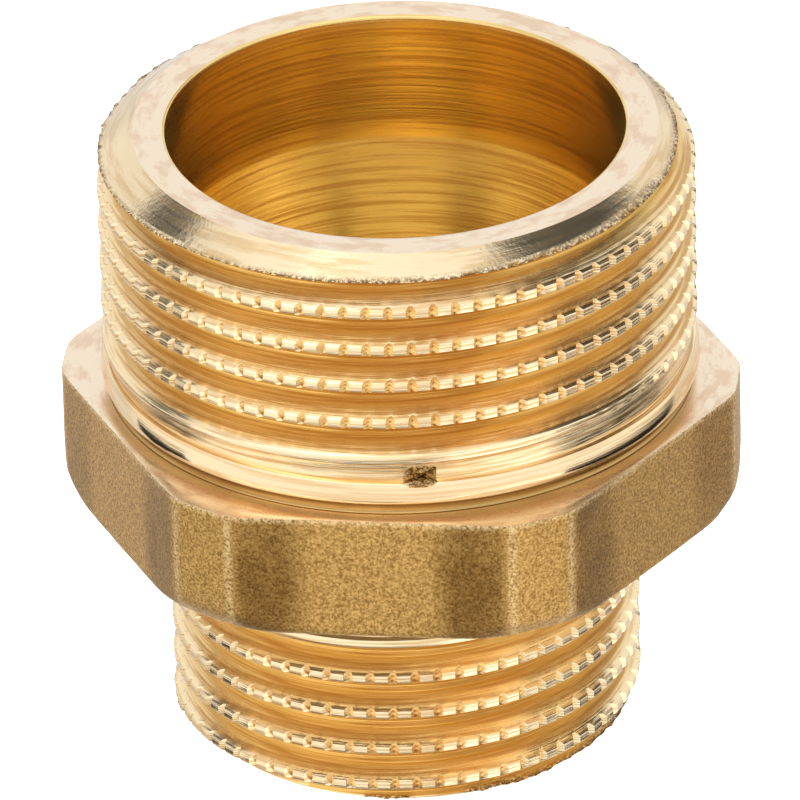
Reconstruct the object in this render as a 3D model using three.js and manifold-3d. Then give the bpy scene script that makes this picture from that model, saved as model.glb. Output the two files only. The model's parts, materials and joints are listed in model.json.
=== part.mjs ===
// Reducing hex nipple in brass: G 3/4 male thread above the hexagon, G 1/2 male thread below it.
// One solid body, in millimetres. +Z runs up the bore, and the origin is the centre of the
// small end's face. A wide flat of the hexagon faces -Y.

import * as THREE from 'three';
import { mergeVertices } from 'three/addons/utils/BufferGeometryUtils.js';
import Module from 'manifold-3d';

// Driving dimensions, in millimetres and degrees.
const largeEndLength = 12.2; // hexagon's top face to the large end
const hexHeight = 5.9;
const smallEndLength = 10.7; // hexagon's lower face to the small end
const acrossFlats = 27.5;
const acrossCorners = 30.1; // between opposite truncated corners
const hexCornerBevel = 0.75; // height of the cone that rounds the corners off below

const pitch = 1.814; // 14 threads to the inch
const crestFlat = 0.4;
const rootFlat = 0.25;
const flankAngle = 27.5; // half of the 55 degree thread form
const endChamferAngle = 35; // measured from the end face

const largeMajorDiameter = 26.32;
const largeWall = 3.06; // from the crests in to the bore
const largeBoreDepth = 6.2;
const smallMajorDiameter = 20.86;
const smallWall = 2.93;
const boreConeLength = 8.8;
const boreEdgeChamfer = 0.2;
// how far each end chamfer runs in from the crests, radially
const largeChamferDepth = 1.6;
const smallChamferDepth = 0.93;

// The collar on each side of the hexagon: a bead a little wider than the thread, then a
// shoulder a little below the crests, where the thread fades out.
const beadProud = 0.09;
const beadLength = 1.1;
const collarNeckLength = 0.5;
const collarNeckDepth = 0.3; // how far the neck between bead and hexagon is cut in
const shoulderLength = 0.8;
const shoulderDepth = 0.2;

// Height of a crest above the end that it starts from, at the -Y side.
const largeFirstCrest = 2.213;
const smallFirstCrest = 1.185;

const stepsPerTurn = 40; // of every round shape, so that crests and roots share their facets
const ridgeSink = 0.3; // the ridge's foot sits this deep in the core
const cutterOverrun = 2; // cutters run this far past what they cut

// Derived sizes.
const hexBase = smallEndLength;
const hexTop = hexBase + hexHeight;
const totalLength = hexTop + largeEndLength;
const flankSlope = Math.tan(THREE.MathUtils.degToRad(flankAngle));
const chamferSlope = Math.tan(THREE.MathUtils.degToRad(endChamferAngle));
const threadDepth = (pitch - crestFlat - rootFlat) / (2 * flankSlope);
const largeRadius = largeMajorDiameter / 2;
const smallRadius = smallMajorDiameter / 2;
const flatHalfWidth = acrossFlats / 2;
const cornerHalfWidth = acrossCorners / 2;
const halfSixth = Math.PI / 6; // of a turn, from the middle of a hexagon's flat to its corner

const wasm = await Module();
wasm.setup();

function toSolid(geometry) {
  geometry.deleteAttribute('normal');
  geometry.deleteAttribute('uv');
  const merged = mergeVertices(geometry, 1e-5);
  return new wasm.Manifold(new wasm.Mesh({
    numProp: 3,
    vertProperties: new Float32Array(merged.attributes.position.array),
    triVerts: new Uint32Array(merged.index.array),
  }));
}

function toGeometry(solid) {
  const mesh = solid.getMesh();
  const geometry = new THREE.BufferGeometry();
  geometry.setAttribute('position', new THREE.BufferAttribute(mesh.vertProperties, 3));
  geometry.setIndex(new THREE.BufferAttribute(mesh.triVerts, 1));
  geometry.computeVertexNormals();
  return geometry;
}

// A solid turned about Z from [radius, height] points that start and end on the axis.
function turned(outline) {
  const points = outline.map(([radius, height]) => new THREE.Vector2(radius, height));
  const geometry = new THREE.LatheGeometry(points, stepsPerTurn);
  geometry.rotateX(Math.PI / 2);
  return toSolid(geometry);
}

// A thread ridge of trapezoid section, extruded straight and then wound down a right-hand
// helix. It starts at the -Y side with its crest at startHeight.
function threadRidge(majorRadius, startHeight, turns) {
  const footRadius = majorRadius - threadDepth - ridgeSink;
  const footHalfWidth = crestFlat / 2 + (threadDepth + ridgeSink) * flankSlope;
  const section = new THREE.Shape([
    new THREE.Vector2(footRadius, -footHalfWidth),
    new THREE.Vector2(majorRadius, -crestFlat / 2),
    new THREE.Vector2(majorRadius, crestFlat / 2),
    new THREE.Vector2(footRadius, footHalfWidth),
  ]);
  const woundAngle = turns * 2 * Math.PI;
  const geometry = new THREE.ExtrudeGeometry(section, {
    depth: woundAngle,
    steps: turns * stepsPerTurn,
    bevelEnabled: false,
  });
  const position = geometry.attributes.position;
  for (let i = 0; i < position.count; i += 1) {
    const radius = position.getX(i);
    const angle = -Math.PI / 2 - position.getZ(i);
    const height = startHeight + position.getY(i) - (pitch * position.getZ(i)) / (2 * Math.PI);
    position.setXYZ(i, radius * Math.cos(angle), radius * Math.sin(angle), height);
  }
  return toSolid(geometry);
}

// Collar outline from the hexagon outwards: neck, bead, shoulder, then the thread's core.
// side is 1 above the hexagon and -1 below it.
function collarOutline(majorRadius, hexFace, side) {
  const neckEnd = hexFace + side * collarNeckLength;
  const beadEnd = neckEnd + side * beadLength;
  const shoulderEnd = beadEnd + side * shoulderLength;
  const beadRadius = majorRadius + beadProud;
  const neckRadius = beadRadius - collarNeckDepth;
  const shoulderRadius = majorRadius - shoulderDepth;
  const coreRadius = majorRadius - threadDepth;
  return [
    [neckRadius, hexFace],
    [beadRadius, neckEnd],
    [beadRadius, beadEnd],
    [shoulderRadius, beadEnd],
    [shoulderRadius, shoulderEnd],
    [coreRadius, shoulderEnd + side * (shoulderRadius - coreRadius) * flankSlope],
  ];
}

// Both thread cores with their collars, as one turned blank. It is over long at both ends.
function turnedBlank() {
  return turned([
    [0, -cutterOverrun],
    [smallRadius - threadDepth, -cutterOverrun],
    ...collarOutline(smallRadius, hexBase, -1).reverse(),
    ...collarOutline(largeRadius, hexTop, 1),
    [largeRadius - threadDepth, totalLength + cutterOverrun],
    [0, totalLength + cutterOverrun],
  ]);
}

// The blank's limits: flat at both ends, with a cone that chamfers the thread at each.
function endLimits() {
  const clearRadius = cornerHalfWidth + cutterOverrun;
  const smallFace = smallRadius - smallChamferDepth;
  const largeFace = largeRadius - largeChamferDepth;
  return turned([
    [0, 0],
    [smallFace, 0],
    [clearRadius, (clearRadius - smallFace) * chamferSlope],
    [clearRadius, totalLength - (clearRadius - largeFace) * chamferSlope],
    [largeFace, totalLength],
    [0, totalLength],
  ]);
}

// A hexagonal prism as high as the hexagon. Unturned, it has corners at the -Y and +Y sides.
function hexPrism(halfWidth, turn) {
  const cornerRadius = halfWidth / Math.cos(halfSixth);
  const prism = new THREE.CylinderGeometry(cornerRadius, cornerRadius, hexHeight, 6);
  prism.rotateX(Math.PI / 2);
  prism.rotateZ(turn);
  prism.translate(0, 0, hexBase + hexHeight / 2);
  return toSolid(prism);
}

// The hexagon: six wide flats, with each corner cut off by a narrow one.
function hexagon() {
  // half the width of a wide flat: up to a narrow one, or up to a sharp corner where there is none
  const halfFlat = Math.min(
    (cornerHalfWidth - flatHalfWidth * Math.cos(halfSixth)) / Math.sin(halfSixth),
    flatHalfWidth * Math.tan(halfSixth));
  // a 45 degree cone takes the corners off below
  const coneFoot = Math.hypot(flatHalfWidth, halfFlat) - hexCornerBevel;
  const cornerCone = turned([
    [0, hexBase - cutterOverrun],
    [coneFoot - cutterOverrun, hexBase - cutterOverrun],
    [coneFoot + hexHeight, hexTop],
    [coneFoot + hexHeight, hexTop + cutterOverrun],
    [0, hexTop + cutterOverrun],
  ]);
  return hexPrism(flatHalfWidth, halfSixth)
    .intersect(hexPrism(cornerHalfWidth, 0))
    .intersect(cornerCone);
}

// The way through: small bore, cone and large bore, with a small chamfer at each mouth.
function bore() {
  const smallBore = smallRadius - smallWall;
  const largeBore = largeRadius - largeWall;
  const coneTop = totalLength - largeBoreDepth;
  return turned([
    [0, -cutterOverrun],
    [smallBore + boreEdgeChamfer + cutterOverrun, -cutterOverrun],
    [smallBore, boreEdgeChamfer],
    [smallBore, coneTop - boreConeLength],
    [largeBore, coneTop],
    [largeBore, totalLength - boreEdgeChamfer],
    [largeBore + boreEdgeChamfer + cutterOverrun, totalLength + cutterOverrun],
    [0, totalLength + cutterOverrun],
  ]);
}

// Winds a ridge that starts clear of upperHeight and ends below lowerHeight, with one of its
// crests crossing the -Y side at crestHeight.
function threadBetween(majorRadius, crestHeight, lowerHeight, upperHeight) {
  const turnsUp = Math.ceil((upperHeight - crestHeight) / pitch);
  const turnsDown = Math.ceil((crestHeight - lowerHeight) / pitch);
  return threadRidge(majorRadius, crestHeight + turnsUp * pitch, turnsUp + turnsDown);
}

function nippleBody() {
  const collarMiddle = collarNeckLength + beadLength / 2;
  const largeThread = threadBetween(
    largeRadius, totalLength - largeFirstCrest, hexTop + collarMiddle, totalLength + pitch / 2);
  const smallThread = threadBetween(
    smallRadius, smallFirstCrest, -pitch / 2, hexBase - collarMiddle);
  return turnedBlank()
    .add(largeThread)
    .add(smallThread)
    .intersect(endLimits())
    .add(hexagon())
    .subtract(bore());
}

const brass = new THREE.MeshStandardMaterial({
  name: 'brass',
  color: 0xc9964a,
  roughness: 0.28,
  metalness: 1,
});

const nipple = new THREE.Group();
const body = new THREE.Mesh(toGeometry(nippleBody()), brass);
body.name = 'nipple_body';
nipple.add(body);

export default nipple;
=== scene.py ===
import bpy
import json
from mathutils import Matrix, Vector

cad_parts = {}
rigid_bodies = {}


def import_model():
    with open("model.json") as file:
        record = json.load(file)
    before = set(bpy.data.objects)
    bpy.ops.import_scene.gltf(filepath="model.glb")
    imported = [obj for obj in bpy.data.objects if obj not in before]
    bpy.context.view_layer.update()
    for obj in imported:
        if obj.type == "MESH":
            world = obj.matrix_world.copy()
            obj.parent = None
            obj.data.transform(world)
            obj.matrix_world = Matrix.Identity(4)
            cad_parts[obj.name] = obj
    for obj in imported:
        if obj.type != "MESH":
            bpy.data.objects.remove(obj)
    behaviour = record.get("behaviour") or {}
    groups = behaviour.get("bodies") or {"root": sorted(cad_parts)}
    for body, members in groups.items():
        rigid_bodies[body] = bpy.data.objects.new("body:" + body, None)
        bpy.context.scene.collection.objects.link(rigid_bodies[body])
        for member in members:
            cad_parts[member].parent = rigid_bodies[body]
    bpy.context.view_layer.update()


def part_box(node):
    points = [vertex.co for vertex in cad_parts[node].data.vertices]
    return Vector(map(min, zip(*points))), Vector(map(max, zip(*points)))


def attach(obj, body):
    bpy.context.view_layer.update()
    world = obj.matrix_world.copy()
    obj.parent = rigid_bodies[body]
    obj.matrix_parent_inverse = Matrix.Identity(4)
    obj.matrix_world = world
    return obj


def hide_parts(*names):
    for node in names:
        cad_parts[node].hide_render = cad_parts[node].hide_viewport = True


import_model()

import json
import math

import bmesh
import bpy
from mathutils import Matrix, Vector, noise

# The fitting is made in millimetres and degrees, then its mesh is scaled to metres.
# Azimuth 0 is the -Y side and grows towards +X. The large end is up.
boxLow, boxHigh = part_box("nipple_body")
body = {
    "height": boxHigh.z * 1000,
    "acrossFlats": (boxHigh.y - boxLow.y) * 1000,
    "acrossCorners": (boxHigh.x - boxLow.x) * 1000,
    "hexBase": 10.7,
    "hexTop": 16.6,
    "pitch": 1.814,        # 14 threads to the inch
    "flankAngle": 27.5,    # 55 degree form
    "threadDepth": 1.118,
    "crestHalf": 0.20,
    "chamferAngle": 35,
}
# half the width of a wide flat of the hexagon, which a narrow flat ends at each side
body["halfFlat"] = body["acrossCorners"] - body["acrossFlats"] / 2 * math.sqrt(3)

# Each end is made standing on the hexagon, with its own end face up.
# firstAzimuth and firstCrest place one crest of its helix.
largeEnd = {
    "length": body["height"] - body["hexTop"],
    "radius": 13.16,
    "faceRadius": 11.56,
    "columns": 336,        # four for each knurl mark
    "firstAzimuth": -90,
    "firstCrest": 9.987,
    "collarRadius": 13.25,
    "neckRadius": 12.93,
}
smallEnd = {
    "length": body["hexBase"],
    "radius": 10.43,
    "faceRadius": 9.5,
    "columns": 264,
    "firstAzimuth": 90,
    "firstCrest": 9.515,
    "collarRadius": 10.52,
    "neckRadius": 10.22,
}
# The knurl rolled along the crests, which stops seal tape from slipping.
knurl = {
    "depth": 0.26,
    "depthSpread": 0.10,   # from mark to mark, as a share of the depth
    "columns": 4,          # of vertices, from mark to mark
    "halfWidth": 0.86,     # of a mark at the crest, in columns
    "taper": 0.8,          # how much narrower a mark is at its foot
    "starts": 2.95,        # lowest knurled crest above the hexagon
    "rise": 0.25,          # from no mark to a full one
    "lip": 0.012,          # metal pushed up beside a mark
}
# Where the threading tool runs out above the collar.
runOut = {
    "shallow": 0.22,       # depth of the last turn
    "ends": 1.25,          # groove heights above the hexagon
    "shallowTo": 2.45,
    "fullFrom": 3.25,
    "stripFoot": 1.62,     # below this the collar takes over
    "footSnap": 0.05,      # rows nearer to it than this are laid on it
    "faceSnap": 0.04,      # and the same at the end face
    "cornerSoft": 0.08,    # roundness of a crest's corners
    "rootSoft": 0.30,
}
# Torn edge that the chamfering tool left on the thread.
burr = {
    "proud": 0.05,
    "least": 0.5,          # of its height, between two teeth
    "swing": 1.4,          # of its height, from tooth to tooth
    "ragged": 0.10,        # up and down
    "length": 0.40,        # from one tooth to the next
}
# A knock on the large end's collar, with a curl of metal pushed up beside it.
nick = {
    "azimuth": 9.8,
    "height": 1.95,        # above the hexagon
    "halfWidth": 0.55,
    "halfHeight": 0.40,
    "depth": 0.30,
    "rimOuter": 1.15,      # its sides slope between these shares of the half sizes
    "rimInner": 0.75,
    "curlShare": 0.3,      # height of the curl, as a share of the depth
}

# which finish each face has, in the order that the finishes are put on the fitting
zones = {"thread": 0, "turned": 1, "blasted": 2, "bored": 3, "faced": 4, "chamfered": 5}
# Vertices nearer than this are merged where turns meet, where rows are pushed together and where
# grown rings meet. Edges shorter than slivers are dissolved.
weld = {"turns": 1e-4, "folds": 0.012, "rings": 0.001, "slivers": 0.004}


def smoothStep(low, high, value):
    t = min(max((value - low) / (high - low), 0), 1)
    return t * t * (3 - 2 * t)


def smoothMax(a, b, soft):
    return (a + b + math.hypot(a - b, soft)) / 2


def smoothMin(a, b, soft):
    return (a + b - math.hypot(a - b, soft)) / 2


# depth share of the groove whose floor is at this height: full, then shallow, then gone
def grooveShare(height):
    shallow = runOut["shallow"] / body["threadDepth"]
    fading = smoothStep(runOut["ends"] - 0.3, runOut["ends"], height) * shallow
    return fading + (1 - shallow) * smoothStep(runOut["shallowTo"], runOut["fullFrom"], height)


def crestOffset(end, angle, height):
    crest = end["firstCrest"] + body["pitch"] * (angle - math.radians(end["firstAzimuth"])) / math.tau
    turn = (height - crest) / body["pitch"]
    return (turn - round(turn)) * body["pitch"]


# how far below the crests the thread's surface is
def threadSink(end, angle, height):
    offset = crestOffset(end, angle, height)
    grooveFloor = height - offset + math.copysign(body["pitch"] / 2, offset)
    share = grooveShare(grooveFloor)
    slope = math.tan(math.radians(body["flankAngle"]))
    flank = smoothMax(0, (abs(offset) - body["crestHalf"]) / slope, runOut["cornerSoft"])
    return smoothMin(flank, body["threadDepth"] * share, runOut["rootSoft"] * share)


def coneRadius(end, height):
    return end["faceRadius"] + (end["length"] - height) / math.tan(math.radians(body["chamferAngle"]))


def columnOf(end, vert):
    return round(math.atan2(vert.co.y, vert.co.x) / math.tau * end["columns"]) % end["columns"]


def place(vert, angle, radius, height):
    vert.co = (radius * math.cos(angle), radius * math.sin(angle), height)


# height where the chamfer's cone cuts the thread, between two heights of one column
def lipHeight(end, angle, low, high):
    def outside(height):
        return end["radius"] - threadSink(end, angle, height) - coneRadius(end, height) > 0
    lowSide = outside(low)
    for halving in range(18):
        middle = (low + high) / 2
        if outside(middle) == lowSide:
            low = middle
        else:
            high = middle
    return (low + high) / 2


# One pitch of the thread's section is wound up a helix, then each column of vertices is set to
# the thread's depth and cut off at the collar below and at the end chamfer above.
def windThread(bm, end):
    rubbed = bm.verts.layers.float.new("rubbed")
    pitch, columns = body["pitch"], end["columns"]
    foot, length = runOut["stripFoot"], end["length"]
    # rows of the section, from the crest to the middle of the groove
    above = [0, 0.1, 0.18, 0.235, 0.30, 0.39, 0.52, 0.67, 0.78, pitch / 2]
    rows = [-h for h in reversed(above)] + above[1:]
    turnsDown = math.ceil((end["firstCrest"] + pitch / 2 - foot) / pitch)
    turnsUp = math.ceil((length + pitch / 2 - end["firstCrest"]) / pitch)
    startAngle = math.radians(end["firstAzimuth"])
    startHeight = end["firstCrest"] - turnsDown * pitch
    section = []
    for row in rows:
        vert = bm.verts.new()
        place(vert, startAngle, end["radius"], startHeight + row)
        section.append(vert)
    edges = [bm.edges.new(pair) for pair in zip(section, section[1:])]
    bmesh.ops.spin(bm, geom=section + edges, cent=(0, 0, 0), axis=(0, 0, 1),
                   dvec=(0, 0, pitch / columns), angle=math.tau, steps=columns, use_merge=False)
    oneTurn = bm.verts[:] + bm.edges[:] + bm.faces[:]
    for turn in range(1, turnsDown + turnsUp):
        copied = bmesh.ops.duplicate(bm, geom=oneTurn)["geom"]
        bmesh.ops.translate(bm, verts=[item for item in copied if isinstance(item, bmesh.types.BMVert)],
                            vec=(0, 0, turn * pitch))
    bmesh.ops.remove_doubles(bm, verts=bm.verts, dist=weld["turns"])

    byColumn = {}
    for vert in bm.verts:
        byColumn.setdefault(columnOf(end, vert), []).append(vert)
    step = math.tau / columns
    for column, verts in byColumn.items():
        angle = column * step
        verts.sort(key=lambda v: v.co.z)
        heights = [v.co.z for v in verts]
        lips = set()
        for i in range(len(heights) - 1):
            low, high = heights[i], heights[i + 1]
            if high < foot or high > length:
                continue
            cutLow = end["radius"] - threadSink(end, angle, low) > coneRadius(end, low)
            cutHigh = end["radius"] - threadSink(end, angle, high) > coneRadius(end, high)
            if cutLow != cutHigh:
                lip = lipHeight(end, angle, low, high)
                nearest = i if lip - low < high - lip else i + 1
                heights[nearest] = lip
                lips.add(nearest)
        mark, inMark = divmod(column, knurl["columns"])
        spread = 1 + knurl["depthSpread"] * noise.noise(Vector((mark * 0.7, end["radius"], 3.5)))
        for i, vert in enumerate(verts):
            height = heights[i]
            if height > length - runOut["faceSnap"]:
                place(vert, angle, end["faceRadius"], length)
                continue
            height = foot if height < foot + runOut["footSnap"] else height
            sink = threadSink(end, angle, height)
            radius = end["radius"] - sink
            turned = angle
            crestHeight = height - crestOffset(end, angle, height)
            knurled = smoothStep(knurl["starts"], knurl["starts"] + knurl["rise"], crestHeight)
            depth = knurl["depth"] * spread * knurled
            if depth > 0 and i not in lips:
                if inMark == 0:
                    radius = min(radius, end["radius"] - depth)
                elif inMark in (1, knurl["columns"] - 1) and sink < depth:
                    share = 1 - knurl["taper"] * max(sink, 0) / depth
                    turned += (share * knurl["halfWidth"] - 1) * step * (1 if inMark == 1 else -1)
                    radius += knurl["lip"] * share
            radius = min(radius, coneRadius(end, height))
            if i in lips:
                tooth = noise.noise(Vector((angle * end["radius"] / burr["length"], height * 0.3, 0.5)))
                radius += burr["proud"] * (burr["least"] + burr["swing"] * tooth)
                height += burr["ragged"] * tooth
                vert[rubbed] = 1
            place(vert, turned, radius, height)
    bmesh.ops.remove_doubles(bm, verts=bm.verts, dist=weld["folds"])
    bmesh.ops.dissolve_degenerate(bm, edges=bm.edges, dist=weld["slivers"])
    for face in bm.faces:
        onCone = [abs(v.co.xy.length - coneRadius(end, v.co.z)) < burr["proud"] * 2 for v in face.verts]
        if all(onCone):
            face.material_index = zones["chamfered"]


def openLoops(bm):
    edges = [e for e in bm.edges if e.is_boundary]
    top = max(max(v.co.z for v in e.verts) for e in edges)
    upper = [e for e in edges if all(v.co.z > top - 0.02 for v in e.verts)]
    return upper, [e for e in edges if e not in set(upper)]


# Extrudes a ring of edges and puts each new vertex where shape(angle) says: radius, height.
def growRing(bm, edges, shape, zone):
    grown = bmesh.ops.extrude_edge_only(bm, edges=edges)["geom"]
    for item in grown:
        if isinstance(item, bmesh.types.BMVert):
            angle = math.atan2(item.co.y, item.co.x)
            place(item, angle, *shape(angle))
        elif isinstance(item, bmesh.types.BMFace):
            item.material_index = zone
    return [item for item in grown if isinstance(item, bmesh.types.BMEdge) and item.is_boundary]


def growRings(bm, edges, points, zone):
    for radius, height in points:
        edges = growRing(bm, edges, lambda angle: (radius, height), zone)
    return edges


# The bead and the neck under it, from the thread's run-out down to the hexagon. Each point is a
# radius and a height above the hexagon.
def growCollar(bm, edges, end, lift):
    bead, neck = end["collarRadius"], end["neckRadius"]
    points = [
        (bead - 0.17, 1.60), (bead - 0.11, 1.58), (bead - 0.08, 1.53), (bead - 0.055, 1.40),
        (bead - 0.025, 1.22), (bead, 1.04), (bead + 0.015, 0.90), (bead + 0.02, 0.78),
        (bead, 0.67), (bead - 0.06, 0.59), (bead - 0.14, 0.52), (neck + 0.10, 0.42), (neck + 0.04, 0.30),
        (neck, 0.18), (neck + 0.01, 0.08), (neck + 0.05, 0.02), (neck + 0.12, 0.0),
    ]
    return growRings(bm, edges, [(radius, height + lift) for radius, height in points], zones["turned"])


# The hexagon, stamped in a die with the rest of the blank and then shot-blasted.
hexagon = {
    "edgeSoft": 0.22,      # roundness of the upright edges
    "cornerCut": 0.75,     # how far the forging die rounds the lower corners
    "topSoft": 0.05,
    "bottomSoft": 0.32,
    "forgeWave": 0.035,    # unevenness left by the die and the blasting
    "coneSlope": 0.9,      # radius gained for each mm up the rounded lower corners
    "coneReach": 2.2,      # how far up they go
    "coneSoft": 0.25,
    # rows up the sides, closer where the lower corners are rounded
    "rows": (16.3, 15.9, 15.4, 14.9, 14.4, 13.9, 13.4, 12.9, 12.5, 12.1, 11.8, 11.55, 11.3, 11.12),
}


def hexRadius(angle):
    azimuth = angle + math.pi / 2
    sixth = math.pi / 3
    wide = (azimuth + sixth / 2) % sixth - sixth / 2
    narrow = azimuth % sixth - sixth / 2
    return smoothMin(body["acrossFlats"] / 2 / math.cos(wide),
                     body["acrossCorners"] / 2 / math.cos(narrow), hexagon["edgeSoft"])


# The hexagon is grown on from the large end's collar: top face, sides, then lower face.
def growHexagon(bm, edges):
    top, base = body["hexTop"], body["hexBase"]
    cornerCone = math.hypot(body["acrossFlats"] / 2, body["halfFlat"]) - hexagon["cornerCut"]

    def side(height, inset):
        def shape(angle):
            radius = hexRadius(angle)
            point = Vector((radius * math.cos(angle), radius * math.sin(angle), height))
            wave = min(noise.noise(point * 0.55) + 0.5 * noise.noise(point * 1.9), 0)
            radius += hexagon["forgeWave"] * wave - inset
            if height < base + hexagon["coneReach"]:
                cone = cornerCone + (height - base) * hexagon["coneSlope"]
                radius = smoothMin(radius, cone, hexagon["coneSoft"])
            return radius, height
        return shape

    for share in (0.35, 0.7):
        inner = largeEnd["neckRadius"] + 0.12
        edges = growRing(bm, edges, lambda angle: (
            inner + (hexRadius(angle) - hexagon["topSoft"] - inner) * share, top), zones["faced"])
    soft = hexagon["topSoft"]
    edges = growRing(bm, edges, side(top, soft), zones["faced"])
    edges = growRing(bm, edges, side(top - soft * 0.3, soft * 0.3), zones["faced"])
    edges = growRing(bm, edges, side(top - soft, 0), zones["blasted"])
    for height in hexagon["rows"]:
        edges = growRing(bm, edges, side(height, 0), zones["blasted"])
    soft = hexagon["bottomSoft"]
    for turn in (15, 32, 50, 70, 90):
        lift = soft * (1 - math.sin(math.radians(turn)))
        inset = soft * (1 - math.cos(math.radians(turn)))
        edges = growRing(bm, edges, side(base + lift, inset), zones["blasted"])
    inner = smallEnd["neckRadius"] + 0.12
    for share in (0.75, 0.5, 0.25):
        edges = growRing(bm, edges, lambda angle: (
            inner + (hexRadius(angle) - hexagon["cornerCut"] - inner) * share, base), zones["turned"])
    return edges


# The way through: a wide bore at the large end, a cone, then a narrower bore.
bore = {
    "radius": 10.1,
    "depth": 6.2,
    "coneLength": 8.8,
    "smallRadius": 7.5,
    "edge": 0.14,          # chamfer at both mouths
    "ledge": 0.04,         # the cone starts this much inside the large bore
    "coneRows": 8,
}


# From the large end's face down through the bore to the small end's mouth.
def growBore(bm, edges):
    height, wide, narrow, edge = body["height"], bore["radius"], bore["smallRadius"], bore["edge"]
    coneTop = height - bore["depth"]
    coneFoot = coneTop - bore["coneLength"]
    face = largeEnd["faceRadius"]
    ring = [(face - 0.06, height), (face - 0.45, height), (face - 0.9, height), (wide + edge, height)]
    edges = growRings(bm, edges, ring, zones["faced"])
    wall = [(wide + edge * 0.3, height - edge * 0.35), (wide, height - edge * 1.1)]
    wall += [(wide, height - depth) for depth in (0.8, 2.2, 3.6, 5.0, bore["depth"] - 0.15)]
    ledge = bore["ledge"]
    for step in range(bore["coneRows"] + 1):
        share = step / bore["coneRows"]
        wall.append((wide - ledge - (wide - narrow - ledge) * share, coneTop - bore["coneLength"] * share))
    wall += [(narrow, coneFoot - 0.2)]
    wall += [(narrow, z) for z in (11.0, 8.0, 5.0, 2.5, 0.5, edge * 1.1)]
    wall += [(narrow + edge * 0.3, edge * 0.35), (narrow + edge, 0)]
    return growRings(bm, edges, wall, zones["bored"])


# Where the metal is brighter from rubbing, and where shade is painted darker, in mm.
marks = {
    "brightEdge": 0.22,    # width of the hexagon's rubbed edges
    "brightShare": 0.7,
    "shadeBandFrom": 4.2,      # painted shade bands beside the hexagon's narrow flats, measured from them
    "shadeBandFull": 2.2,
    "shadeBandEnd": 0.7,
    "besideBurr": 0.3,     # share of the burr's torn look that its neighbours get
    "neckEnds": 0.65,      # painted shade in the neck, above the hexagon
    "neckFull": 0.4,
    "grooveFrom": 0.05,    # painted shade in the grooves, by how far they are below the crests
    "grooveFull": 0.95,
    "grooveStarts": 1.6,   # above the hexagon
    "grooveWhole": 1.8,
    "onCone": 0.05,        # nearer to the chamfer's cone than this stays clean
}


# How deep the knock is at a point, from 0 to 1, and how high the curl beside it. Across the
# knock, aside and up run from -1 to 1.
def nickAt(vert):
    radius = vert.co.xy.length
    turn = math.atan2(vert.co.x, -vert.co.y) - math.radians(nick["azimuth"])
    aside = turn * radius / nick["halfWidth"]
    up = (vert.co.z - body["hexTop"] - nick["height"]) / nick["halfHeight"]
    if max(abs(aside), abs(up)) > 2 or radius < bore["radius"] + 1.5:
        return 0, 0
    rough = noise.noise(Vector((aside * 3.1, up * 3.7, 0.4)))
    outer, inner = nick["rimOuter"], nick["rimInner"]
    dent = smoothStep(outer, inner, abs(aside)) * smoothStep(outer, inner, abs(up + 0.25))
    curl = smoothStep(0.6, 0, math.hypot(aside + 1.1, (up - 0.3) / 1.6)) * (1 + 2 * rough)
    crumb = smoothStep(0.4, 0, abs(up - 0.9)) * smoothStep(1.3, 0.6, abs(aside)) * (0.6 + 3 * rough)
    return dent * (1 + 0.5 * rough), curl + crumb


# Knocks the collar in, and pushes up a curl beside the knock. Also keeps on the mesh where the
# metal is torn or rubbed bright, and where shade is painted: in the knock, the neck, the grooves and in
# bands beside the hexagon's narrow flats.
def strikeAndMark(bm):
    rubbed = bm.verts.layers.float["rubbed"]
    paintedShade = bm.verts.layers.float.new("paintedShade")
    sixth = math.pi / 3
    flatEnd = body["halfFlat"]
    for vert in [v for v in bm.verts if v[rubbed] == 1]:
        for edge in vert.link_edges:
            beside = edge.other_vert(vert)
            beside[rubbed] = max(beside[rubbed], marks["besideBurr"])
    for vert in bm.verts:
        height, radius = vert.co.z, vert.co.xy.length
        dent, curl = nickAt(vert)
        if dent or curl:
            change = nick["depth"] * (nick["curlShare"] * curl - dent)
            place(vert, math.atan2(vert.co.y, vert.co.x), radius + change, height)
            vert[rubbed] = min(dent + abs(curl), 1)
        if body["hexBase"] < height < body["hexTop"] and radius > largeEnd["collarRadius"]:
            azimuth = math.atan2(vert.co.y, vert.co.x) + math.pi / 2
            along = abs(radius * math.sin((azimuth + sixth / 2) % sixth - sixth / 2))
            lip = min(abs(along - flatEnd), body["hexTop"] - height, height - body["hexBase"])
            vert[rubbed] = marks["brightShare"] * smoothStep(marks["brightEdge"], 0.02, lip)
            # painted shade in bands beside the narrow flats, strongest on the flats at azimuth 0 and 180
            band = smoothStep(flatEnd - marks["shadeBandFrom"], flatEnd - marks["shadeBandFull"], along)
            band *= smoothStep(flatEnd, flatEnd - marks["shadeBandEnd"], along)
            vert[paintedShade] = band * (0.5 + 0.5 * math.cos(azimuth) ** 2)
        elif radius > bore["radius"] + 0.4 or height < body["hexBase"]:
            end = largeEnd if height > body["hexTop"] else smallEnd
            reach = height - body["hexTop"] if end is largeEnd else body["hexBase"] - height
            sunk = end["radius"] - radius
            # painted shade in the neck under the bead, in the grooves by their depth, and in the knock
            neckShade = smoothStep(marks["neckEnds"], marks["neckFull"], reach) * smoothStep(-0.4, 0.1, sunk)
            grooveShade = smoothStep(marks["grooveFrom"], marks["grooveFull"], sunk)
            grooveShade *= smoothStep(marks["grooveStarts"], marks["grooveWhole"], reach)
            onCone = abs(radius - coneRadius(end, reach)) < marks["onCone"]
            vert[paintedShade] = max(neckShade, dent, 0 if onCone else grooveShade)


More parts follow.
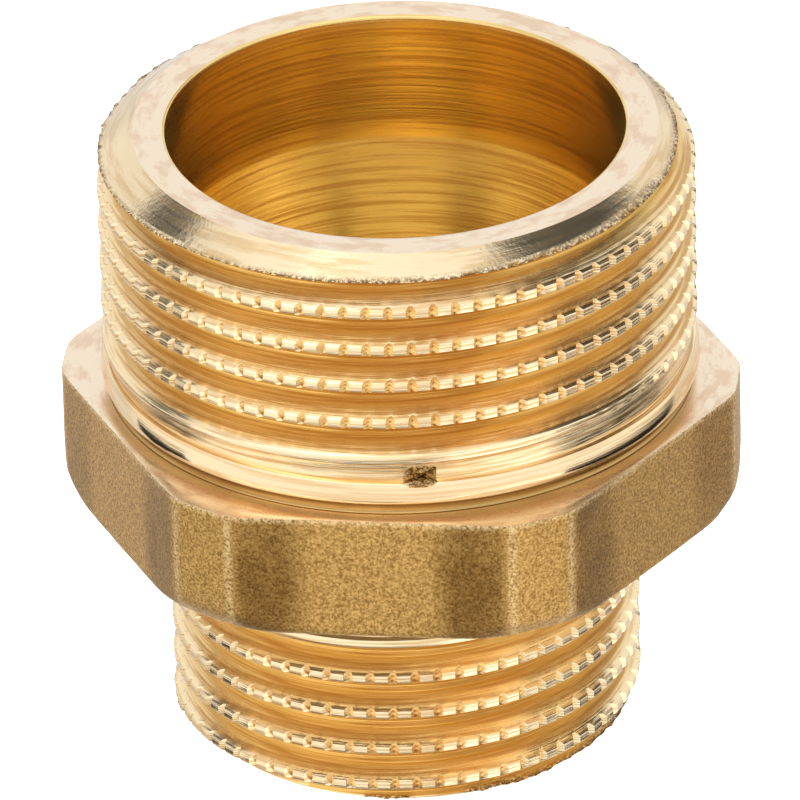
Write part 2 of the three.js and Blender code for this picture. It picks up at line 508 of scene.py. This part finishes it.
def makeNipple():
    bm = bmesh.new()
    windThread(bm, largeEnd)
    faceLoop, footLoop = openLoops(bm)
    bmesh.ops.translate(bm, verts=bm.verts, vec=(0, 0, body["hexTop"]))
    print("large end wound:", len(bm.verts), "vertices")
    growBore(bm, faceLoop)
    growHexagon(bm, growCollar(bm, footLoop, largeEnd, body["hexTop"]))
    print("bore, collar and hexagon grown:", len(bm.verts), "vertices")

    small = bmesh.new()
    windThread(small, smallEnd)
    faceLoop, footLoop = openLoops(small)
    growRings(small, faceLoop, [(smallEnd["faceRadius"] - 0.06, smallEnd["length"])], zones["faced"])
    growCollar(small, footLoop, smallEnd, 0)
    bmesh.ops.rotate(small, verts=small.verts, cent=(0, 0, 0), matrix=Matrix.Rotation(math.pi, 3, "X"))
    bmesh.ops.translate(small, verts=small.verts, vec=(0, 0, body["hexBase"]))
    mesh = bpy.data.meshes.new("hexNipple")
    small.to_mesh(mesh)
    small.free()
    bm.from_mesh(mesh)
    print("small end wound:", len(bm.verts), "vertices")

    # what is still open is four flat loops: two at the hexagon's lower face, two at the small end's
    openEdges = [e for e in bm.edges if e.is_boundary]
    for height in (0, body["hexBase"]):
        loops = [e for e in openEdges if abs(e.verts[0].co.z - height) < 0.05]
        made = bmesh.ops.bridge_loops(bm, edges=loops)
        for face in made["faces"]:
            face.material_index = zones["turned"]
    bmesh.ops.remove_doubles(bm, verts=bm.verts, dist=weld["rings"])
    bmesh.ops.recalc_face_normals(bm, faces=bm.faces)
    strikeAndMark(bm)
    print("one closed body:", sum(len(face.verts) - 2 for face in bm.faces), "triangles,",
          sum(1 for e in bm.edges if not e.is_manifold), "open edges")
    bmesh.ops.scale(bm, vec=(0.001,) * 3, verts=bm.verts)
    for face in bm.faces:
        face.smooth = True
    bm.to_mesh(mesh)
    bm.free()
    mesh.set_sharp_from_angle(angle=math.radians(28))
    piece = bpy.data.objects.new("hexNipple", mesh)
    bpy.context.scene.collection.objects.link(piece)
    return piece


nipple = makeNipple()


def fromHex(code):
    channels = [int(code[i:i + 2], 16) / 255 for i in (0, 2, 4)]
    return [c / 12.92 if c <= 0.04045 else ((c + 0.055) / 1.055) ** 2.4 for c in channels] + [1]


# Adds one node: links maps a socket to where it comes from, values maps a socket to a number.
def addNode(tree, kind, links={}, values={}, **settings):
    node = tree.nodes.new(kind)
    for name, value in settings.items():
        setattr(node, name, value)
    for socket, value in values.items():
        node.inputs[socket].default_value = value
    for socket, source in links.items():
        tree.links.new(source, node.inputs[socket])
    return node


def startMaterial(name, look):
    material = bpy.data.materials.new(name)
    material.use_nodes = True
    tree = material.node_tree
    shader = tree.nodes["Principled BSDF"]
    shader.inputs["Metallic"].default_value = 1
    shader.inputs["Roughness"].default_value = look["roughness"]
    spot = addNode(tree, "ShaderNodeTexCoord").outputs["Object"]
    return material, tree, shader, spot


# CW617N brass, screw-cut: bright, with tool streaks that follow the helix, so that what it
# mirrors is smeared up and down the thread but keeps its edges from side to side.
cutThread = {
    "colour": "F9E2B8",
    "stain": "C4924C",     # warmer where cutting oil has dried
    "stainShare": 0.75,
    "stainWidth": 0.145,   # mm
    "stainLength": 7,      # mm
    "paintedShadeColour": "EAD498",    # multiplied in as painted shade in the grooves, the neck and the knock
    "roughness": 0.13,
    "deepRoughness": 0.34,
    "smear": 0.4,          # how far highlights are drawn out across the marks
    "lineWidth": 0.09,     # mm
    "lineDepth": 0.030,    # mm
}
# The same brass, turned on the collar: fine rings round the axis, a little uneven.
turnedCollar = {
    "colour": "F4DAB0",
    "stain": "D2A468",
    "stainShare": 0.5,
    "stainWidth": 0.145,   # mm
    "stainLength": 7,      # mm
    "paintedShadeColour": "BFB08C",
    "roughness": 0.10,
    "deepRoughness": 0.22,
    "smear": 0.25,
    "lineWidth": 0.09,
    "lineDepth": 0.005,
}
# The end faces and the hexagon's top, faced across: paler, a painted highlight, with faint pinkish stains
# from handling.
facedEnd = {
    "colour": "F5E3CA",
    "stain": "DDB694",
    "stainShare": 0.5,
    "stainWidth": 0.70,    # mm
    "stainLength": 1.6,    # mm
    "paintedShadeColour": "FFFFFF",
    "roughness": 0.24,
    "deepRoughness": 0.24,
    "smear": 0.4,
    "lineWidth": 0.10,
    "lineDepth": 0.003,
}
# Drilled wall: deeper in colour as painted shade inside the bore, with the drill's rings and streaks of
# dried oil.
boredWall = {
    "colour": "F2D792",
    "stain": "C08A3E",
    "stainShare": 0.6,
    "stainWidth": 0.175,   # mm
    "stainLength": 7,      # mm
    "paintedShadeColour": "FFFFFF",
    "roughness": 0.20,
    "deepRoughness": 0.20,
    "smear": 0.25,
    "lineWidth": 0.11,
    "lineDepth": 0.010,
}
# The chamfers, cut with a wide tool that chattered: fine ribs across the cone.
chamferedEdge = {
    "colour": "F0DAB4",
    "stain": "CFA870",
    "stainShare": 0.5,
    "stainWidth": 0.35,    # mm
    "stainLength": 3,      # mm
    "paintedShadeColour": "FFFFFF",
    "roughness": 0.17,
    "deepRoughness": 0.17,
    "smear": 0.4,
    "lineWidth": 0.10,
    "lineDepth": 0.005,
    "chatter": 0.20,       # mm from rib to rib
    "chatterDepth": 0.006,
}
# Shot-blasted forging: dull, with a grit of small dents and darker scale lying in them, darker patches,
# and painted shade in bands beside the narrow flats.
blastedForging = {
    "colour": "E0B46C",
    "darkColour": "8E672F",
    # multiplied in over random patches, and as painted shade beside the narrow flats
    "patchAndShadeColour": "B4ABA0",
    "edgeColour": "F6DCA8",
    "roughness": 0.40,
    "gritSize": 0.12,      # mm, one dent
    "gritDepth": 0.038,    # mm
    "patchSize": 4.2,      # mm
    "grainFrom": 0.39,     # noise levels between the darkest dent and the clean metal
    "grainFull": 0.61,
    "shadeBandWeight": 0.55,    # of a painted shade band against the patches
    "patchShadeFrom": 0.60,
    "patchShadeFull": 1.1,
}


# Noise that changes over width mm across the tool's marks and over length mm along them. On a
# thread the marks climb with the helix, and one turn's marks meet the next one's.
def toolMarks(tree, spot, width, length, detail=3, helix=False):
    flat = addNode(tree, "ShaderNodeSeparateXYZ", {0: spot})
    x, y, z = flat.outputs
    if helix:
        turns = addNode(tree, "ShaderNodeMath", {0: z}, {1: math.tau * 1000 / body["pitch"]},
                        operation="MULTIPLY").outputs[0]
        angle = addNode(tree, "ShaderNodeMath", {0: y, 1: x}, operation="ARCTAN2").outputs[0]
        phase = addNode(tree, "ShaderNodeMath", {0: turns, 1: angle}, operation="SUBTRACT").outputs[0]
        first = addNode(tree, "ShaderNodeMath", {0: phase}, operation="COSINE").outputs[0]
        second = addNode(tree, "ShaderNodeMath", {0: phase}, operation="SINE").outputs[0]
        across = body["pitch"] / math.tau / width
    else:
        planar = addNode(tree, "ShaderNodeCombineXYZ", {0: x, 1: y}).outputs[0]
        first = addNode(tree, "ShaderNodeVectorMath", {0: planar}, operation="LENGTH").outputs["Value"]
        second = z
        across = 1000 / width
    section = addNode(tree, "ShaderNodeCombineXYZ", {0: first, 1: second, 2: x}).outputs[0]
    scaled = addNode(tree, "ShaderNodeVectorMath", {0: section}, {1: (across, across, 1000 / length)},
                     operation="MULTIPLY").outputs[0]
    depth = addNode(tree, "ShaderNodeMath", {0: y}, {1: 1000 / length}, operation="MULTIPLY").outputs[0]
    return addNode(tree, "ShaderNodeTexNoise", {"Vector": scaled, "W": depth},
                   {"Scale": 1, "Detail": detail, "Roughness": 0.6}, noise_dimensions="4D").outputs[0]


def readMark(tree, name):
    return addNode(tree, "ShaderNodeAttribute", attribute_name=name).outputs["Fac"]


def blend(tree, share, first, second, mode="MIX"):
    mix = addNode(tree, "ShaderNodeMix", {0: share}, data_type="RGBA", blend_type=mode)
    for socket, colour in ((6, first), (7, second)):
        if isinstance(colour, str):
            mix.inputs[socket].default_value = fromHex(colour)
        else:
            tree.links.new(colour, mix.inputs[socket])
    return mix.outputs[2]


# Torn metal, along the burr and in the knock. Its noise turns to pits below these levels.
tornMetal = {
    "crumb": 0.16,         # mm
    "pitColour": "5A3C1A",
    "noPits": 0.56,
    "fullPits": 0.48,
}
# Noise levels where a stain starts and is full, and how far it changes the roughness.
staining = {
    "starts": 0.47,
    "full": 0.60,
    "smoothest": 0.8,
    "roughest": 1.3,
}


def makeTurned(name, look, helix=False):
    material, tree, shader, spot = startMaterial(name, look)
    lines = toolMarks(tree, spot, look["lineWidth"], 9, helix=helix)
    stains = toolMarks(tree, spot, look["stainWidth"], look["stainLength"], helix=helix)
    share = addNode(tree, "ShaderNodeMapRange", {"Value": stains},
                    {"From Min": staining["starts"], "From Max": staining["full"],
                     "To Max": look["stainShare"]}).outputs[0]
    colour = blend(tree, share, look["colour"], look["stain"])
    # painted shade: the grooves, the neck and the knock are darkened
    colour = blend(tree, readMark(tree, "paintedShade"), colour, look["paintedShadeColour"], "MULTIPLY")
    rough = addNode(tree, "ShaderNodeMapRange", {"Value": readMark(tree, "paintedShade")},
                    {"To Min": look["roughness"], "To Max": look["deepRoughness"]}).outputs[0]
    uneven = addNode(tree, "ShaderNodeMapRange", {"Value": stains},
                     {"From Min": 0.35, "From Max": 0.65, "To Min": staining["smoothest"],
                      "To Max": staining["roughest"]}).outputs[0]
    rough = addNode(tree, "ShaderNodeMath", {0: rough, 1: uneven}, operation="MULTIPLY").outputs[0]
    tree.links.new(rough, shader.inputs["Roughness"])
    normal = addNode(tree, "ShaderNodeBump", {"Height": lines},
                     {"Strength": 1, "Distance": look["lineDepth"] / 1000}).outputs[0]
    if "chatter" in look:
        ribs = toolMarks(tree, spot, 1.6, look["chatter"], detail=1)
        normal = addNode(tree, "ShaderNodeBump", {"Height": ribs, "Normal": normal},
                         {"Strength": 1, "Distance": look["chatterDepth"] / 1000}).outputs[0]
    # torn metal along the burr, with dark pits in it
    torn = addNode(tree, "ShaderNodeTexNoise", {"Vector": spot},
                   {"Scale": 1000 / tornMetal["crumb"], "Detail": 3, "Roughness": 0.7}).outputs[0]
    pits = addNode(tree, "ShaderNodeMapRange", {"Value": torn},
                   {"From Min": tornMetal["noPits"], "From Max": tornMetal["fullPits"]}).outputs[0]
    pits = addNode(tree, "ShaderNodeMath", {0: pits, 1: readMark(tree, "rubbed")},
                   operation="MULTIPLY").outputs[0]
    tree.links.new(blend(tree, pits, colour, tornMetal["pitColour"]), shader.inputs["Base Color"])
    normal = addNode(tree, "ShaderNodeBump", {"Height": torn, "Normal": normal,
                                              "Strength": readMark(tree, "rubbed")},
                     {"Distance": tornMetal["crumb"] / 1000}).outputs[0]
    tree.links.new(normal, shader.inputs["Normal"])
    # the marks run round the axis, so highlights are drawn out across them
    around = addNode(tree, "ShaderNodeTangent", direction_type="RADIAL", axis="Z")
    tree.links.new(around.outputs[0], shader.inputs["Tangent"])
    shader.inputs["Anisotropic"].default_value = look["smear"]
    shader.inputs["Anisotropic Rotation"].default_value = 0.25
    return material


def makeBlasted(name, look):
    material, tree, shader, spot = startMaterial(name, look)
    grit = addNode(tree, "ShaderNodeTexNoise", {"Vector": spot},
                   {"Scale": 1000 / look["gritSize"], "Detail": 5, "Roughness": 0.75}).outputs[0]
    patches = addNode(tree, "ShaderNodeTexNoise", {"Vector": spot},
                      {"Scale": 1000 / look["patchSize"], "Detail": 4, "Roughness": 0.6}).outputs[0]
    bump = addNode(tree, "ShaderNodeBump", {"Height": grit},
                   {"Strength": 1, "Distance": look["gritDepth"] / 1000})
    tree.links.new(bump.outputs[0], shader.inputs["Normal"])
    grain = addNode(tree, "ShaderNodeMapRange", {"Value": grit},
                    {"From Min": look["grainFrom"], "From Max": look["grainFull"]}).outputs[0]
    colour = blend(tree, grain, look["darkColour"], look["colour"])
    # random patches, with painted shade added in bands beside the narrow flats
    band = addNode(tree, "ShaderNodeMath", {0: patches, 1: readMark(tree, "paintedShade")},
                   {2: look["shadeBandWeight"]}, operation="MULTIPLY_ADD").outputs[0]
    patchesAndShade = addNode(tree, "ShaderNodeMapRange", {"Value": band},
                    {"From Min": look["patchShadeFrom"], "From Max": look["patchShadeFull"]}).outputs[0]
    colour = blend(tree, patchesAndShade, colour, look["patchAndShadeColour"], "MULTIPLY")
    # the edges are knocked bright in spots
    edge = addNode(tree, "ShaderNodeMath", {0: grain, 1: readMark(tree, "rubbed")},
                   operation="MULTIPLY").outputs[0]
    tree.links.new(blend(tree, edge, colour, look["edgeColour"]), shader.inputs["Base Color"])
    return material


nipple.data.materials.append(makeTurned("screw-cut brass", cutThread, helix=True))
nipple.data.materials.append(makeTurned("turned brass", turnedCollar))
nipple.data.materials.append(makeBlasted("shot-blasted brass", blastedForging))
nipple.data.materials.append(makeTurned("bored brass", boredWall))
nipple.data.materials.append(makeTurned("faced brass", facedEnd))
nipple.data.materials.append(makeTurned("chamfered brass", chamferedEdge))
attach(nipple, "root")
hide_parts("nipple_body")
print("brass finishes on")

# The studio, in metres and degrees.
studio = {
    "floorSize": 1.2,
    "floorGlow": 1.1,
    "domeRadius": 1.4,     # nearer than the far clip of a camera fitted to the fitting
    "padRadius": 0.0094,   # what the fitting stands on
    "padGlow": 0.12,
    "level": 1.2,
    "lens": 652.8,
    "azimuth": 6.5,
    "elevation": 29.74,
    "distance": 0.6435,
    "aimHeight": 0.01489,
    "aimAside": 0.000067,
    "roll": 1.355,
}
# Soft white all round, with flags and softboxes in it: middle and half width in azimuth from
# the camera, lowest and highest elevation, level, and how soft the edges are, in degrees.
boxes = [
    {"name": "dim rear", "middle": 180, "half": 62, "low": -90, "high": 8, "level": 0.85, "soft": 14},
    {"name": "rear wall", "middle": 180, "half": 80, "low": 8, "high": 60, "level": 1.0, "soft": 14},
    {"name": "near floor", "middle": -38, "half": 64, "low": -90, "high": -42, "level": 0.25, "soft": 8},
    {"name": "low right softbox", "middle": 42, "half": 22, "low": -90, "high": -20, "level": 1.7,
     "soft": 4},
    {"name": "overhead", "middle": 180, "half": 180, "low": 74, "high": 90, "level": 1.2, "soft": 6},
    {"name": "key softbox", "middle": -28, "half": 42, "low": 20, "high": 74, "level": 2.0, "soft": 8},
    {"name": "left flag", "middle": -103, "half": 14, "low": -40, "high": -20, "level": 0.02, "soft": 2},
    {"name": "left top flag", "middle": -121, "half": 9, "low": 31, "high": 47, "level": 0.08,
     "soft": 3},
    {"name": "right flag", "middle": 93, "half": 30, "low": -40, "high": -20, "level": 0.02, "soft": 2},
    {"name": "right top flag", "middle": 103, "half": 23, "low": 32, "high": 72, "level": 0.08,
     "soft": 3},
]


def direction(azimuth, elevation):
    a, e = math.radians(azimuth), math.radians(elevation)
    return Vector((math.sin(a) * math.cos(e), -math.cos(a) * math.cos(e), math.sin(e)))


# One piece of the stage. The camera alone sees it, unless it also shades the fitting.
def stagePiece(name, bm, colour, glow, shades=False):
    mesh = bpy.data.meshes.new(name)
    bm.to_mesh(mesh)
    bm.free()
    piece = bpy.data.objects.new(name, mesh)
    bpy.context.scene.collection.objects.link(piece)
    material = bpy.data.materials.new(name + " acrylic")
    material.use_nodes = True
    shader = material.node_tree.nodes["Principled BSDF"]
    shader.inputs["Base Color"].default_value = fromHex(colour)
    shader.inputs["Roughness"].default_value = 0.6
    shader.inputs["Emission Color"].default_value = fromHex("FFFFFF")
    shader.inputs["Emission Strength"].default_value = glow
    mesh.materials.append(material)
    piece.visible_glossy = shades
    piece.visible_diffuse = shades
    piece.visible_shadow = shades


def discAt(radius, height):
    bm = bmesh.new()
    bmesh.ops.create_circle(bm, cap_ends=True, segments=96, radius=radius)
    bmesh.ops.translate(bm, verts=bm.verts, vec=(0, 0, height))
    return bm


# The light comes from all round, so the floor and the backdrop only show white. The pad keeps
# the light out of the bore's lower end.
def makeStage():
    stagePiece("floor", discAt(studio["floorSize"], 0), "F2F2F2", studio["floorGlow"])
    stagePiece("pad", discAt(studio["padRadius"], -0.0001), "E0E0E0", studio["padGlow"], shades=True)
    dome = bmesh.new()
    bmesh.ops.create_uvsphere(dome, u_segments=48, v_segments=24, radius=studio["domeRadius"])
    stagePiece("backdrop", dome, "F2F2F2", studio["floorGlow"])


def makeWorld():
    world = bpy.data.worlds.new("studio")
    world.use_nodes = True
    tree = world.node_tree
    towards = addNode(tree, "ShaderNodeTexCoord").outputs["Generated"]
    height = addNode(tree, "ShaderNodeSeparateXYZ", {0: towards}).outputs[2]
    planar = addNode(tree, "ShaderNodeVectorMath", {0: towards}, {1: (1, 1, 0)}, operation="MULTIPLY")
    flat = addNode(tree, "ShaderNodeVectorMath", {0: planar.outputs[0]}, operation="NORMALIZE").outputs[0]
    glow = None
    for box in boxes:
        middle = direction(studio["azimuth"] + box["middle"], 0)
        turn = addNode(tree, "ShaderNodeVectorMath", {0: flat}, {1: middle}, operation="DOT_PRODUCT")
        mask = None
        soft = box["soft"] / 2
        edges = []
        if box["half"] < 180:
            edges.append((turn.outputs["Value"], math.cos(math.radians(box["half"] + soft)),
                          math.cos(math.radians(box["half"] - soft))))
        if box["low"] > -90:
            edges.append((height, math.sin(math.radians(box["low"] - soft)),
                          math.sin(math.radians(box["low"] + soft))))
        if box["high"] < 90:
            edges.append((height, math.sin(math.radians(box["high"] + soft)),
                          math.sin(math.radians(box["high"] - soft))))
        for value, outside, inside in edges:
            edge = addNode(tree, "ShaderNodeMapRange", {"Value": value},
                           {"From Min": outside, "From Max": inside}, interpolation_type="SMOOTHSTEP")
            edge = edge.outputs[0]
            mask = edge if mask is None else addNode(
                tree, "ShaderNodeMath", {0: mask, 1: edge}, operation="MULTIPLY").outputs[0]
        links = {"Factor": mask} if glow is None else {"Factor": mask, "A": glow}
        glow = addNode(tree, "ShaderNodeMix", links, {"B": box["level"]}, data_type="FLOAT",
                       label=box["name"])
        if "A" not in links:
            glow.inputs["A"].default_value = studio["level"]
        glow = glow.outputs[0]
    background = tree.nodes["Background"]
    background.inputs["Color"].default_value = fromHex("FFFFFF")
    tree.links.new(glow, background.inputs["Strength"])
    bpy.context.scene.world = world


def makeCamera():
    camera = bpy.data.objects.new("camera", bpy.data.cameras.new("camera"))
    camera.data.sensor_width = 36
    camera.data.lens = studio["lens"]
    camera.data.clip_start, camera.data.clip_end = 0.05, 10
    towards = direction(studio["azimuth"], studio["elevation"])
    aside = direction(studio["azimuth"] + 90, 0)
    aim = Vector((0, 0, studio["aimHeight"])) - aside * studio["aimAside"]
    camera.location = aim + towards * studio["distance"]
    turn = Matrix.Rotation(math.radians(-studio["roll"]), 3, "Z")
    camera.rotation_euler = (towards.to_track_quat("Z", "Y").to_matrix() @ turn).to_euler()
    bpy.context.scene.collection.objects.link(camera)
    bpy.context.scene.camera = camera


makeStage()
makeWorld()
makeCamera()
bpy.context.scene.view_settings.view_transform = "Standard"
print("studio set")
